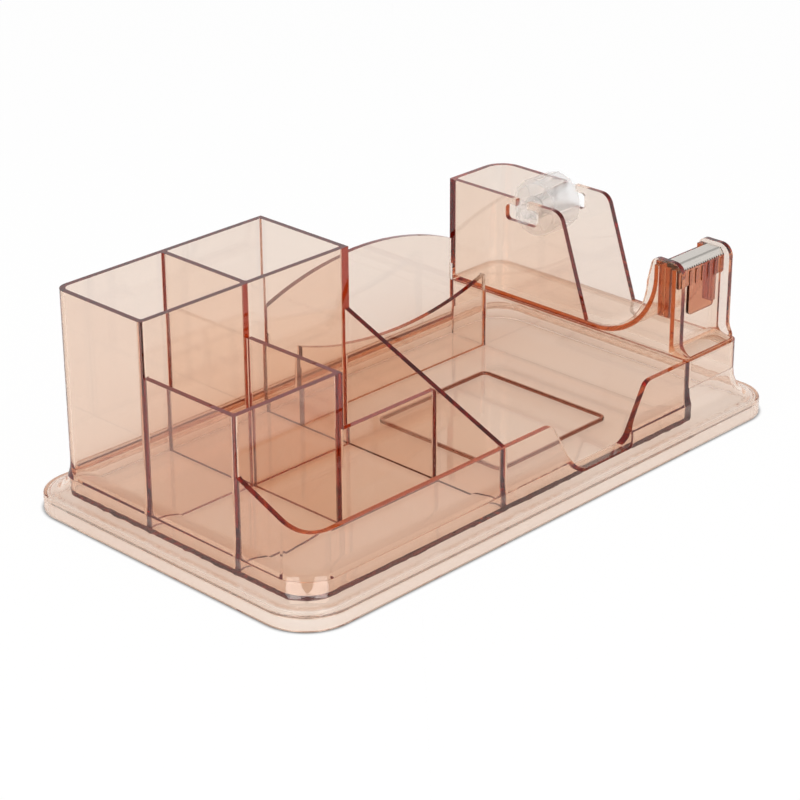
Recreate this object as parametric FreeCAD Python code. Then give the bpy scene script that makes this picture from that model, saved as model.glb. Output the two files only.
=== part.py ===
"""Desk organiser with a tape dispenser, moulded in clear amber polystyrene.

Units are millimetres and +Z is up. The origin is the middle of the footprint on the table.
The long side with the finger notch faces -Y, and the tape dispenser stands at the +X end.
Lengths named *_from_left and *_from_front are measured from the outer faces of the walls.
"""
import FreeCAD, Part
import math
import os

V = FreeCAD.Vector

# ---- driving sizes: the moulded base -------------------------------------------------------------
FOOTPRINT_LENGTH = 212.0        # outer faces of the walls, along X
FOOTPRINT_DEPTH = 113.5         # outer faces of the walls, along Y
WALL = 2.0
FLOOR_TOP = 5.6
FLOOR_THICKNESS = 1.8
FLANGE_OVERHANG = 9.6
FLANGE_HEIGHT = 5.8             # the upright edge that stands on the table
FLANGE_EDGE_ROUND = 0.8
FLANGE_SKIN = 1.3               # the flange and the flare are thinner than the walls
FLARE_RISE = 10.5               # how far the concave flare climbs up the wall

WALL_CORNERS = {"front_left": 11.0, "front_right": 4.5, "back_right": 6.5, "back_left": 5.0}
FLANGE_CORNERS = {"front_left": 17.0, "front_right": 14.0, "back_right": 16.0, "back_left": 15.0}
CELL_CORNER = 0.8               # small inside radius in each compartment

# centre lines of the dividing walls
CUP_DIVIDER_FROM_LEFT = 44.9
TRAY_FROM_LEFT = 89.0
DISPENSER_FROM_LEFT = 183.8
CHANNEL_BACK_FROM_FRONT = 30.9
TALL_CUPS_FROM_FRONT = 72.3
TRAY_BACK_FROM_FRONT = 95.3

# heights above the table
TALL_CUP_HEIGHT = 76.7
SMALL_CUP_HEIGHT = 58.1
STEP_HEIGHT = 27.0              # front wall and dispenser pedestal
LOW_DIVIDER_HEIGHT = 38.4
SLANT_BACK_HEIGHT = 55.0        # slanted divider, where it leaves the tall cups
END_SLOPE_BACK_HEIGHT = 37.9    # sloped end wall, where it leaves the small cup
END_SLOPE_RUN = 26.5
END_SLOPE_ROUND = 16.0

BACK_PANEL_LEFT = 44.0
BACK_PANEL_CROWN = 52.8
BACK_PANEL_RIGHT = 43.3
TRAY_BACK_LEFT = 34.4
TRAY_BACK_DIP = 25.9
TRAY_BACK_RIGHT = 33.6

NOTCH_FLOOR = 8.0               # above the flange, so the flare keeps its foot
NOTCH_TOP_WIDTH = 48.4
NOTCH_FLOOR_WIDTH = 27.0
NOTCH_TOP_ROUND = 4.0
NOTCH_FOOT_ROUND = 6.0

TRAY_RIB_LENGTH = 55.6         # low rib on the memo tray's floor, to keep paper off it
TRAY_RIB_DEPTH = 57.6
TRAY_RIB_WIDTH = 1.0
TRAY_RIB_RISE = 0.8
TRAY_RIB_CORNER = 3.0

# ---- driving sizes: the tape housing -------------------------------------------------------------
HOUSING_INSET = 1.0             # front, back and far side stand in from the pedestal's faces
HOUSING_WALL = 2.0
HOUSING_BACK_ROUND = 9.0        # outside, at the back right corner
SPIGOT_DEPTH = 1.6
SPIGOT_WALL = 1.2
FIT = 0.15                      # clearance of one moulding inside another
SHEET = 1.7                     # shelf, panel, scoop and floor
SHELF_ROUND = 3.0
CHEEK_TOP_FRONT_FROM_FRONT = 59.5
CHEEK_FOOT_FROM_FRONT = 46.6
CHEEK_CORNER_ROUND = 5.0
EAR_FRONT_FROM_FRONT = 4.3
EAR_DEPTH = 12.9
EAR_FRONT_ROUND = 4.5
EAR_BACK_ROUND = 3.0
EAR_BACK_LEAN = 2.2
VALLEY_RADIUS = 23.0
PANEL_FROM_FRONT = 7.7
SCOOP_BACK_FROM_FRONT = 17.1    # upright part of the scoop, behind the cutter

# heights above the pedestal's step
SHELF_EDGE_RISE = 0.5
SHELF_BACK_RISE = 2.0
FLOOR_PLATE_RISE = 1.8
CHEEK_LOW_RISE = 2.0            # lowest part of the cheeks' edges
EAR_FOOT_EDGE_RISE = 1.2
EAR_FOOT_TOP_RISE = 6.0         # below this the ear's front edge flares forward
EAR_RISE = 34.3
CHEEK_RISE = 39.3
SLOT_FLOOR_RISE = 30.8
DECK_RISE = 32.9

# ---- driving sizes: hub and cutter ---------------------------------------------------------------
HUB_FROM_FRONT = 77.4           # the hub's axis
SLOT_HEIGHT = 5.9
SLOT_LENGTH = 14.6
SLOT_ENTRY = 5.2
SLOT_CORNER = 1.6
SLOT_PLAY = 0.1
TAB_HEIGHT = 7.8
TAB_SEAT_GAP = 0.05
AXLE_RADIUS = 2.8
AXLE_COLLAR_RADIUS = 4.4
AXLE_COLLAR_WIDTH = 0.8
AXLE_END_PLAY = 0.4
DRUM_RADIUS = 10.2
DRUM_WALL = 1.3
DRUM_WIDTH = 12.4
DRUM_BORE_PLAY = 0.08
DRUM_END_PLAY = 0.3
DRUM_BOSS_WALL = 1.2
DRUM_SPOKES = 6
DRUM_SPOKE_WALL = 1.0
DRUM_RIDGES = 12
DRUM_RIDGE_RISE = 0.3
DRUM_RIDGE_WIDTH = 0.9

BLADE_THICKNESS = 0.5
BLADE_SEAT_GAP = 0.02
BLADE_END_GAP = 0.9             # from the carrier's ends
BLADE_BACK_FROM_FRONT = 10.9
BLADE_LIP = 2.0
LIP_ANGLE = 55.0                # the toothed lip is bent down by this much
TOOTH_PITCH = 1.2
TOOTH_DEPTH = 0.8
DECK_THICKNESS = 1.8
DECK_BACK_FROM_FRONT = 16.6
SKIRT_LENGTH = 8.3              # down from the deck
SKIRT_THICKNESS = 1.1
SKIRT_RIBS = 7
SKIRT_RIB_WIDTH = 1.1
SKIRT_RIB_RISE = 0.35
TONGUE_WIDTH = 14.0
TONGUE_LENGTH = 19.5
TONGUE_CORNER = 1.5
LEG_THICKNESS = 2.2
LEG_FROM_FRONT = 10.5
LEG_WIDTH = 4.7
LEG_LENGTH = 19.9
LEG_FLUTE_WIDTH = 1.2
LEG_FLUTE_DEPTH = 0.8

# ---- places worked out from the sizes ------------------------------------------------------------
LEFT = -FOOTPRINT_LENGTH / 2
RIGHT = FOOTPRINT_LENGTH / 2
FRONT = -FOOTPRINT_DEPTH / 2
BACK = FOOTPRINT_DEPTH / 2
HALF_WALL = WALL / 2
CUP_DIVIDER_X = LEFT + CUP_DIVIDER_FROM_LEFT
TRAY_X = LEFT + TRAY_FROM_LEFT
DISPENSER_X = LEFT + DISPENSER_FROM_LEFT
CHANNEL_Y = FRONT + CHANNEL_BACK_FROM_FRONT
TALL_Y = FRONT + TALL_CUPS_FROM_FRONT
TRAY_BACK_Y = FRONT + TRAY_BACK_FROM_FRONT
FLARE_TOP = FLANGE_HEIGHT + FLARE_RISE
FLOOR_UNDERSIDE = FLOOR_TOP - FLOOR_THICKNESS
REACH = 20.0                    # how far a cutting tool runs past the part

SHELF_EDGE = STEP_HEIGHT + SHELF_EDGE_RISE
SHELF_BACK = STEP_HEIGHT + SHELF_BACK_RISE
FLOOR_PLATE_TOP = STEP_HEIGHT + FLOOR_PLATE_RISE
CHEEK_LOW = STEP_HEIGHT + CHEEK_LOW_RISE
EAR_FOOT_EDGE = STEP_HEIGHT + EAR_FOOT_EDGE_RISE
EAR_FOOT_TOP = STEP_HEIGHT + EAR_FOOT_TOP_RISE
EAR_TOP = STEP_HEIGHT + EAR_RISE
CHEEK_TOP = STEP_HEIGHT + CHEEK_RISE
SLOT_FLOOR = STEP_HEIGHT + SLOT_FLOOR_RISE
DECK_TOP = STEP_HEIGHT + DECK_RISE
SKIRT_FOOT = DECK_TOP - SKIRT_LENGTH
TONGUE_FOOT = DECK_TOP - TONGUE_LENGTH
LEG_FOOT = DECK_TOP - LEG_LENGTH


def box(x0, x1, y0, y1, z0, z1):
    return Part.makeBox(x1 - x0, y1 - y0, z1 - z0, V(x0, y0, z0))


def outline(x0, x1, y0, y1, z, radii):
    """Closed rounded rectangle. radii: front_left, front_right, back_right, back_left."""
    corners = [
        (x0, y0, radii["front_left"], 180),
        (x1, y0, radii["front_right"], 270),
        (x1, y1, radii["back_right"], 0),
        (x0, y1, radii["back_left"], 90),
    ]
    inward = {180: (1, 1), 270: (-1, 1), 0: (-1, -1), 90: (1, -1)}
    arcs = []
    for x, y, radius, start in corners:
        sx, sy = inward[start]
        centre = V(x + sx * radius, y + sy * radius, z)
        points = []
        for turn in (0, 45, 90):
            angle = math.radians(start + turn)
            points.append(centre + V(radius * math.cos(angle), radius * math.sin(angle), 0))
        arcs.append(points)
    edges = []
    for index, points in enumerate(arcs):
        edges.append(Part.Arc(*points).toShape())
        edges.append(Part.makeLine(points[2], arcs[(index + 1) % 4][0]))
    return Part.Wire(edges)


def same_radii(radius):
    return dict.fromkeys(WALL_CORNERS, radius)


def rounded_block(x0, x1, y0, y1, z0, z1, radii):
    return Part.Face(outline(x0, x1, y0, y1, z0, radii)).extrude(V(0, 0, z1 - z0))


def path(points, plane, across):
    """Closed wire of straight runs and arcs in a vertical plane.

    A point is (along, height), or (along, height, "arc") for the middle of an arc
    between the point before it and the point after it.
    """
    def place(point):
        if plane == "yz":
            return V(across, point[0], point[1])
        return V(point[0], across, point[1])

    edges = []
    count = len(points)
    index = 0
    while index < count:
        here = points[index]
        following = points[(index + 1) % count]
        if len(following) == 3:
            after = points[(index + 2) % count]
            edges.append(Part.Arc(place(here), place(following), place(after)).toShape())
            index += 2
        else:
            edges.append(Part.makeLine(place(here), place(following)))
            index += 1
    return Part.Wire(edges)


def slab(points, plane, start, end):
    """Solid of a profile in a vertical plane, from start to end across that plane."""
    face = Part.Face(path(points, plane, start))
    step = end - start
    return face.extrude(V(step, 0, 0) if plane == "yz" else V(0, step, 0))


def rounded_corner(before, corner, after, radius):
    """Three points of an arc that rounds the corner of a profile."""
    def unit(a, b):
        length = math.hypot(b[0] - a[0], b[1] - a[1])
        return ((b[0] - a[0]) / length, (b[1] - a[1]) / length)

    back = unit(corner, before)
    ahead = unit(corner, after)
    half = math.acos(back[0] * ahead[0] + back[1] * ahead[1]) / 2
    reach = radius / math.tan(half)
    start = (corner[0] + back[0] * reach, corner[1] + back[1] * reach)
    end = (corner[0] + ahead[0] * reach, corner[1] + ahead[1] * reach)
    bisector = unit((0, 0), (back[0] + ahead[0], back[1] + ahead[1]))
    away = radius / math.sin(half) - radius
    middle = (corner[0] + bisector[0] * away, corner[1] + bisector[1] * away, "arc")
    return [start, middle, end]


def flare_outline(offset, height, inset):
    """Wall outline pushed out by offset; its corners grow from the wall's to the flange's."""
    share = (offset + inset) / (FLANGE_OVERHANG - FLANGE_EDGE_ROUND)
    radii = {}
    for name, wall_radius in WALL_CORNERS.items():
        high = max(wall_radius - inset, CELL_CORNER)
        low = FLANGE_CORNERS[name] - inset - FLANGE_EDGE_ROUND
        radii[name] = high + share * (low - high)
    return outline(LEFT - offset, RIGHT + offset, FRONT - offset, BACK + offset, height, radii)


def flare_sections(inset):
    """Outlines of the concave flare from its foot to its top, moved inwards by inset."""
    reach = FLANGE_OVERHANG - FLANGE_EDGE_ROUND
    foot = math.acos(inset / (reach + inset))
    steps = 7
    wires = []
    if inset:
        wires.append(flare_outline(reach - inset, FLANGE_HEIGHT - inset, inset))
    for step in range(steps + 1):
        angle = foot * (1 - step / steps)
        offset = reach - (reach + inset) * math.cos(angle)
        height = FLARE_TOP - (FLARE_RISE + inset) * math.sin(angle)
        wires.append(flare_outline(offset, height, inset))
    return wires


def flange(inset, underside):
    """Upright edge of the base with its rounded top corner."""
    out = FLANGE_OVERHANG - inset
    radii = {name: value - inset for name, value in FLANGE_CORNERS.items()}
    top = FLANGE_HEIGHT - inset
    solid = rounded_block(LEFT - out, RIGHT + out, FRONT - out, BACK + out, underside,
                          top - FLANGE_EDGE_ROUND, radii)
    wires = []
    for turn in (0, 30, 60, 90):
        angle = math.radians(turn)
        back_off = FLANGE_EDGE_ROUND * (1 - math.cos(angle))
        height = top - FLANGE_EDGE_ROUND + FLANGE_EDGE_ROUND * math.sin(angle)
        wires.append(outline(LEFT - out + back_off, RIGHT + out - back_off, FRONT - out + back_off,
                             BACK + out - back_off, height,
                             {name: value - back_off for name, value in radii.items()}))
    return solid.fuse(Part.makeLoft(wires, True))


# ---- the moulded base ----------------------------------------------------------------------------
def cell(x0, x1, y0, y1, **corners):
    """Inside of one compartment, from its floor to above the walls."""
    radii = same_radii(CELL_CORNER)
    for name in corners:
        radii[name] = max(corners[name] - WALL, CELL_CORNER)
    return rounded_block(x0, x1, y0, y1, FLOOR_TOP, TALL_CUP_HEIGHT + REACH, radii)


def compartments():
    left = LEFT + WALL
    divider_left = CUP_DIVIDER_X - HALF_WALL
    divider_right = CUP_DIVIDER_X + HALF_WALL
    slant_left = TRAY_X - HALF_WALL
    tray_left = TRAY_X + HALF_WALL
    tray_right = DISPENSER_X - HALF_WALL
    channel_back = CHANNEL_Y - HALF_WALL
    small_front = CHANNEL_Y + HALF_WALL
    small_back = TALL_Y - HALF_WALL
    tall_front = TALL_Y + HALF_WALL
    back = BACK - WALL
    return [
        cell(left, divider_left, tall_front, back, back_left=WALL_CORNERS["back_left"]),
        cell(divider_right, slant_left, tall_front, back),
        cell(left, divider_left, small_front, small_back),
        cell(divider_right, slant_left, small_front, small_back),
        cell(left, slant_left, FRONT + WALL, channel_back, front_left=WALL_CORNERS["front_left"]),
        cell(tray_left, tray_right, FRONT + WALL, TRAY_BACK_Y - HALF_WALL),
        cell(tray_left, tray_right, TRAY_BACK_Y + HALF_WALL, back),
    ]


def tray_rib():
    """Low rib that runs round the middle of the memo tray's floor."""
    middle_x = (TRAY_X + DISPENSER_X) / 2
    middle_y = (FRONT + WALL + TRAY_BACK_Y) / 2
    low = FLOOR_TOP - FLOOR_THICKNESS / 2
    blocks = []
    for inset in (0, TRAY_RIB_WIDTH):
        half_x = TRAY_RIB_LENGTH / 2 - inset
        half_y = TRAY_RIB_DEPTH / 2 - inset
        blocks.append(rounded_block(middle_x - half_x, middle_x + half_x, middle_y - half_y, middle_y + half_y,
                                    low, FLOOR_TOP + TRAY_RIB_RISE, same_radii(TRAY_RIB_CORNER - inset)))
    return blocks[0].cut(blocks[1])


def underside():
    """Hollow under the flange, the flare and the pedestal, with the compartments left out."""
    hollow = flange(FLANGE_SKIN, -REACH)
    hollow = hollow.fuse(Part.makeLoft(flare_sections(FLANGE_SKIN), True))
    kept = rounded_block(LEFT, RIGHT, FRONT, BACK, FLOOR_UNDERSIDE, FLARE_TOP + REACH, WALL_CORNERS)
    pedestal_left = DISPENSER_X + HALF_WALL
    kept = kept.cut(box(pedestal_left, RIGHT + REACH, FRONT - REACH, BACK + REACH, 0, STEP_HEIGHT + REACH))
    radii = {name: max(value - WALL, CELL_CORNER) for name, value in WALL_CORNERS.items()}
    radii["front_left"] = CELL_CORNER
    radii["back_left"] = CELL_CORNER
    pedestal = rounded_block(pedestal_left, RIGHT - WALL, FRONT + WALL, BACK - WALL,
                             FLOOR_UNDERSIDE, STEP_HEIGHT + REACH, radii)
    return hollow.cut([kept, finger_notch(FLANGE_SKIN)]).fuse(pedestal)


def end_slope_trim():
    """Above the channel: the end wall slopes down to the front wall's height."""
    channel_back = CHANNEL_Y - HALF_WALL
    above = TALL_CUP_HEIGHT + REACH
    foot = (channel_back - END_SLOPE_RUN, STEP_HEIGHT)
    front = (FRONT - REACH, STEP_HEIGHT)
    top = (channel_back, END_SLOPE_BACK_HEIGHT)
    points = [front, *rounded_corner(front, foot, top, END_SLOPE_ROUND), top,
              (channel_back, above), (FRONT - REACH, above)]
    return slab(points, "yz", LEFT - REACH, TRAY_X - HALF_WALL)


def slanted_divider_trim():
    above = TALL_CUP_HEIGHT + REACH
    back = TALL_Y - HALF_WALL
    points = [(FRONT - REACH, STEP_HEIGHT), (FRONT + HALF_WALL, STEP_HEIGHT), (back, SLANT_BACK_HEIGHT),
              (back, above), (FRONT - REACH, above)]
    return slab(points, "yz", TRAY_X - HALF_WALL, TRAY_X + HALF_WALL)


def arched_trim(left_height, middle_height, right_height, y0, y1):
    """Above a wall behind the tray whose top is one arc."""
    x0 = TRAY_X + HALF_WALL
    x1 = DISPENSER_X - HALF_WALL
    above = TALL_CUP_HEIGHT + REACH
    points = [(x0, left_height), ((x0 + x1) / 2, middle_height, "arc"), (x1, right_height),
              (x1, above), (x0, above)]
    return slab(points, "xz", y0, y1)


def finger_notch(skin=0.0):
    """Opening in the tray's front wall, down to just above the flange, grown all round by skin."""
    middle = (TRAY_X + DISPENSER_X) / 2
    above = STEP_HEIGHT + REACH
    half_top = NOTCH_TOP_WIDTH / 2 + skin
    half_foot = NOTCH_FLOOR_WIDTH / 2 + skin
    floor = NOTCH_FLOOR - skin
    points = []
    for side in (-1, 1):
        rim = (middle + side * half_top, STEP_HEIGHT)
        foot = (middle + side * half_foot, floor)
        outside = (rim[0] + side * REACH, STEP_HEIGHT)
        inside = (middle, floor)
        run = rounded_corner(outside, rim, foot, NOTCH_TOP_ROUND)
        run += rounded_corner(rim, foot, inside, NOTCH_FOOT_ROUND)
        points += run if side < 0 else run[::-1]
    points += [(points[-1][0], above), (points[0][0], above)]
    return slab(points, "xz", FRONT - FLANGE_OVERHANG - REACH, FRONT + WALL + CELL_CORNER)


def wall_trims():
    above = TALL_CUP_HEIGHT + REACH
    small_back = TALL_Y - HALF_WALL
    small_front = CHANNEL_Y - HALF_WALL
    tray_left = TRAY_X + HALF_WALL
    tray_right = DISPENSER_X - HALF_WALL
    return [
        box(LEFT - REACH, CUP_DIVIDER_X + HALF_WALL, small_front, small_back, SMALL_CUP_HEIGHT, above),
        box(CUP_DIVIDER_X + HALF_WALL, TRAY_X - HALF_WALL, small_front, small_back,
            LOW_DIVIDER_HEIGHT, above),
        end_slope_trim(),
        slanted_divider_trim(),
        box(tray_left, RIGHT + REACH, FRONT - REACH, TRAY_BACK_Y - HALF_WALL, STEP_HEIGHT, above),
        box(tray_right, RIGHT + REACH, FRONT - REACH, BACK + REACH, STEP_HEIGHT, above),
        arched_trim(TRAY_BACK_LEFT, TRAY_BACK_DIP, TRAY_BACK_RIGHT,
                    TRAY_BACK_Y - HALF_WALL, BACK - WALL),
        arched_trim(BACK_PANEL_LEFT, BACK_PANEL_CROWN, BACK_PANEL_RIGHT, BACK - WALL, BACK + REACH),
        finger_notch(),
    ]


def organiser_base():
    solid = flange(0, 0).fuse(Part.makeLoft(flare_sections(0), True))
    solid = solid.fuse(rounded_block(LEFT, RIGHT, FRONT, BACK, FLANGE_HEIGHT, TALL_CUP_HEIGHT, WALL_CORNERS))
    solid = solid.cut(underside())
    solid = solid.cut(compartments() + wall_trims())
    return solid.fuse(tray_rib()).removeSplitter()


# ---- the tape housing ----------------------------------------------------------------------------
HOUSING_LEFT = DISPENSER_X - HALF_WALL
HOUSING_RIGHT = RIGHT - HOUSING_INSET
HOUSING_FRONT = FRONT + HOUSING_INSET
HOUSING_BACK = BACK - HOUSING_INSET
GAP_LEFT = HOUSING_LEFT + HOUSING_WALL
GAP_RIGHT = HOUSING_RIGHT - HOUSING_WALL
GAP_MIDDLE = (GAP_LEFT + GAP_RIGHT) / 2
EAR_FRONT = FRONT + EAR_FRONT_FROM_FRONT
EAR_BACK = EAR_FRONT + EAR_DEPTH
PANEL_FRONT = FRONT + PANEL_FROM_FRONT
DECK_UNDERSIDE = DECK_TOP - DECK_THICKNESS
VALLEY_Y = EAR_BACK + EAR_BACK_LEAN + VALLEY_RADIUS
SPIGOT_FRONT = FRONT + WALL + FIT
SPIGOT_BACK = BACK - WALL - FIT
HUB_Y = FRONT + HUB_FROM_FRONT
HUB_Z = SLOT_FLOOR + TAB_SEAT_GAP + TAB_HEIGHT / 2
HOUSING_CORNERS = {"front_left": 0.6, "back_left": 0.6,
                   "front_right": WALL_CORNERS["front_right"] - HOUSING_INSET,
                   "back_right": HOUSING_BACK_ROUND}


def quarter(centre, radius):
    """Quarter circle that drops to the right onto a level line, as three points."""
    lower = math.sqrt(0.5) * radius
    return [(centre[0] - radius, centre[1]),
            (centre[0] - lower, centre[1] - lower, "arc"),
            (centre[0], centre[1] - radius)]


def ear_foot_arc():
    """The ear's front edge flares forward to the pedestal."""
    run = EAR_FRONT - HOUSING_FRONT
    rise = EAR_FOOT_TOP - EAR_FOOT_EDGE
    radius = (run * run + rise * rise) / (2 * run)
    half = math.asin(rise / radius) / 2
    middle = (EAR_FRONT - radius + radius * math.cos(half), EAR_FOOT_TOP - radius * math.sin(half), "arc")
    return [(HOUSING_FRONT, EAR_FOOT_EDGE), middle, (EAR_FRONT, EAR_FOOT_TOP)]


def cheek(start, end):
    """One side wall: ear, valley, slope and cheek, from front to back."""
    foot = (EAR_FRONT, EAR_FOOT_TOP)
    top_front = (EAR_FRONT, EAR_TOP)
    top_back = (EAR_BACK, EAR_TOP)
    cheek_foot = (FRONT + CHEEK_FOOT_FROM_FRONT, CHEEK_LOW)
    cheek_corner = (FRONT + CHEEK_TOP_FRONT_FROM_FRONT, CHEEK_TOP)
    cheek_back = (HOUSING_BACK, CHEEK_TOP)
    valley = quarter((VALLEY_Y, CHEEK_LOW + VALLEY_RADIUS), VALLEY_RADIUS)
    points = [
        (HOUSING_FRONT, STEP_HEIGHT),
        *ear_foot_arc(),
        *rounded_corner(foot, top_front, top_back, EAR_FRONT_ROUND),
        *rounded_corner(top_front, top_back, valley[0], EAR_BACK_ROUND),
        *valley,
        cheek_foot,
        *rounded_corner(cheek_foot, cheek_corner, cheek_back, CHEEK_CORNER_ROUND),
        cheek_back,
        (HOUSING_BACK, STEP_HEIGHT),
    ]
    return slab(points, "yz", start, end)


def front_sheet():
    """Shelf over the pedestal's front, turning up into the panel between the ears."""
    edge = (HOUSING_FRONT, SHELF_EDGE)
    foot = (PANEL_FRONT, SHELF_BACK)
    top = (PANEL_FRONT, DECK_UNDERSIDE)
    low = SHELF_EDGE - SHEET
    back = PANEL_FRONT + SHEET
    points = [
        (HOUSING_FRONT, STEP_HEIGHT), edge,
        *rounded_corner(edge, foot, top, SHELF_ROUND),
        top,
        (back, DECK_UNDERSIDE), (back, low), (SPIGOT_FRONT, low), (SPIGOT_FRONT, STEP_HEIGHT),
    ]
    return slab(points, "yz", GAP_LEFT, GAP_RIGHT)


def back_sheet():
    """Scoop behind the cutter, running down into the floor of the tape well."""
    radius = VALLEY_Y - (FRONT + SCOOP_BACK_FROM_FRONT)
    centre = (VALLEY_Y, FLOOR_PLATE_TOP + radius)
    upper = quarter(centre, radius)
    lower = quarter(centre, radius + SHEET)[::-1]
    points = [
        (upper[0][0], DECK_UNDERSIDE),
        *upper,
        (SPIGOT_BACK, FLOOR_PLATE_TOP),
        (SPIGOT_BACK, FLOOR_PLATE_TOP - SHEET),
        *lower,
        (lower[-1][0], DECK_UNDERSIDE),
    ]
    return slab(points, "yz", GAP_LEFT, GAP_RIGHT)


def hub_slots():
    """T-shaped slot through both cheeks: a narrow entry over a wide rounded foot."""
    x0 = HOUSING_LEFT - REACH
    x1 = HOUSING_RIGHT + REACH
    foot = box(x0, x1, HUB_Y - SLOT_LENGTH / 2, HUB_Y + SLOT_LENGTH / 2,
               SLOT_FLOOR, SLOT_FLOOR + SLOT_HEIGHT)
    along_x = [edge for edge in foot.Edges if abs(edge.tangentAt(edge.FirstParameter).x) > 0.9]
    foot = foot.makeFillet(SLOT_CORNER, along_x)
    entry = box(x0, x1, HUB_Y - SLOT_ENTRY / 2, HUB_Y + SLOT_ENTRY / 2,
                SLOT_FLOOR, CHEEK_TOP + REACH)
    return foot.fuse(entry)


def spigot():
    """Rim under the housing that drops into the pedestal's open top."""
    x0 = DISPENSER_X + HALF_WALL + FIT
    x1 = RIGHT - WALL - FIT
    z0 = STEP_HEIGHT - SPIGOT_DEPTH
    radii = same_radii(CELL_CORNER)
    radii["front_right"] = WALL_CORNERS["front_right"] - WALL
    radii["back_right"] = WALL_CORNERS["back_right"] - WALL
    rim = rounded_block(x0, x1, SPIGOT_FRONT, SPIGOT_BACK, z0, STEP_HEIGHT, radii)
    return rim.cut(box(x0 + SPIGOT_WALL, x1 - SPIGOT_WALL, SPIGOT_FRONT + SPIGOT_WALL,
                       SPIGOT_BACK - SPIGOT_WALL, z0, STEP_HEIGHT))


def back_wall():
    """Back of the tape well, with a rounded corner at the right."""
    block = box(GAP_LEFT, GAP_RIGHT, HOUSING_BACK - HOUSING_BACK_ROUND, HOUSING_BACK, STEP_HEIGHT, CHEEK_TOP)
    radii = same_radii(CELL_CORNER)
    radii["back_right"] = HOUSING_BACK_ROUND - HOUSING_WALL
    room = rounded_block(GAP_LEFT, GAP_RIGHT, HUB_Y, HOUSING_BACK - HOUSING_WALL, STEP_HEIGHT, CHEEK_TOP, radii)
    return block.cut(room)


def tape_housing():
    solid = cheek(HOUSING_LEFT, GAP_LEFT)
    solid = solid.fuse([cheek(GAP_RIGHT, HOUSING_RIGHT), back_wall(), front_sheet(), back_sheet()])
    corners = rounded_block(HOUSING_LEFT, HOUSING_RIGHT, HOUSING_FRONT, HOUSING_BACK,
                            STEP_HEIGHT - SPIGOT_DEPTH, CHEEK_TOP, HOUSING_CORNERS)
    solid = solid.common(corners).cut(hub_slots())
    plug = rounded_block(DISPENSER_X + HALF_WALL + FIT, RIGHT - WALL - FIT, SPIGOT_FRONT, SPIGOT_BACK,
                         STEP_HEIGHT - SPIGOT_DEPTH, STEP_HEIGHT, same_radii(CELL_CORNER))
    above = box(HOUSING_LEFT, HOUSING_RIGHT, HOUSING_FRONT, HOUSING_BACK, STEP_HEIGHT, CHEEK_TOP)
    return solid.common(plug.fuse(above)).fuse(spigot()).removeSplitter()


# ---- the cutter ----------------------------------------------------------------------------------
CUTTER_LEFT = GAP_LEFT + FIT
CUTTER_RIGHT = GAP_RIGHT - FIT
SKIRT_BACK = PANEL_FRONT - FIT
SKIRT_FRONT = SKIRT_BACK - SKIRT_THICKNESS
LIP_SLOPE = math.radians(LIP_ANGLE)
BEND_Y = SKIRT_FRONT + (BLADE_LIP + TOOTH_DEPTH) * math.cos(LIP_SLOPE)
CHAMFER_FOOT = DECK_TOP - (BLADE_LIP + TOOTH_DEPTH) * math.sin(LIP_SLOPE)


def cutter_leg(side):
    """Leg inside an ear, behind the panel, with a flute down its outer face. side is -1 or 1."""
    outer = GAP_MIDDLE + side * (CUTTER_RIGHT - GAP_MIDDLE)
    inner = outer - side * LEG_THICKNESS
    y0 = FRONT + LEG_FROM_FRONT
    middle = y0 + LEG_WIDTH / 2
    leg = box(min(outer, inner), max(outer, inner), y0, y0 + LEG_WIDTH, LEG_FOOT, DECK_TOP)
    flute_floor = outer - side * LEG_FLUTE_DEPTH
    flute = box(min(outer, flute_floor), max(outer, flute_floor), middle - LEG_FLUTE_WIDTH / 2,
                middle + LEG_FLUTE_WIDTH / 2, LEG_FOOT, DECK_UNDERSIDE)
    return leg.cut(flute)


def cutter_tongue():
    """Tongue that hangs down over the front panel."""
    half = TONGUE_WIDTH / 2
    tongue = box(GAP_MIDDLE - half, GAP_MIDDLE + half, SKIRT_FRONT, SKIRT_BACK, TONGUE_FOOT, CHAMFER_FOOT)
    low = [edge for edge in tongue.Edges
           if abs(edge.tangentAt(edge.FirstParameter).y) > 0.9 and edge.CenterOfMass.z < SKIRT_FOOT]
    return tongue.makeFillet(TONGUE_CORNER, low)


def cutter_carrier():
    """Saddle that carries the blade: deck, front skirt with ribs, tongue and two legs."""
    deck_back = FRONT + DECK_BACK_FROM_FRONT
    points = [
        (SKIRT_FRONT, SKIRT_FOOT), (SKIRT_FRONT, CHAMFER_FOOT), (BEND_Y, DECK_TOP),
        (deck_back, DECK_TOP), (deck_back, DECK_UNDERSIDE), (SKIRT_BACK, DECK_UNDERSIDE),
        (SKIRT_BACK, SKIRT_FOOT),
    ]
    solid = slab(points, "yz", CUTTER_LEFT, CUTTER_RIGHT)
    solid = solid.fuse([cutter_leg(-1), cutter_leg(1), cutter_tongue()])
    pitch = (CUTTER_RIGHT - CUTTER_LEFT) / SKIRT_RIBS
    for index in range(SKIRT_RIBS):
        middle = CUTTER_LEFT + (index + 0.5) * pitch
        solid = solid.fuse(box(middle - SKIRT_RIB_WIDTH / 2, middle + SKIRT_RIB_WIDTH / 2,
                               SKIRT_FRONT - SKIRT_RIB_RISE, SKIRT_BACK, SKIRT_FOOT,
                               CHAMFER_FOOT - 2 * SKIRT_RIB_RISE))
    return solid.removeSplitter()


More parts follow.
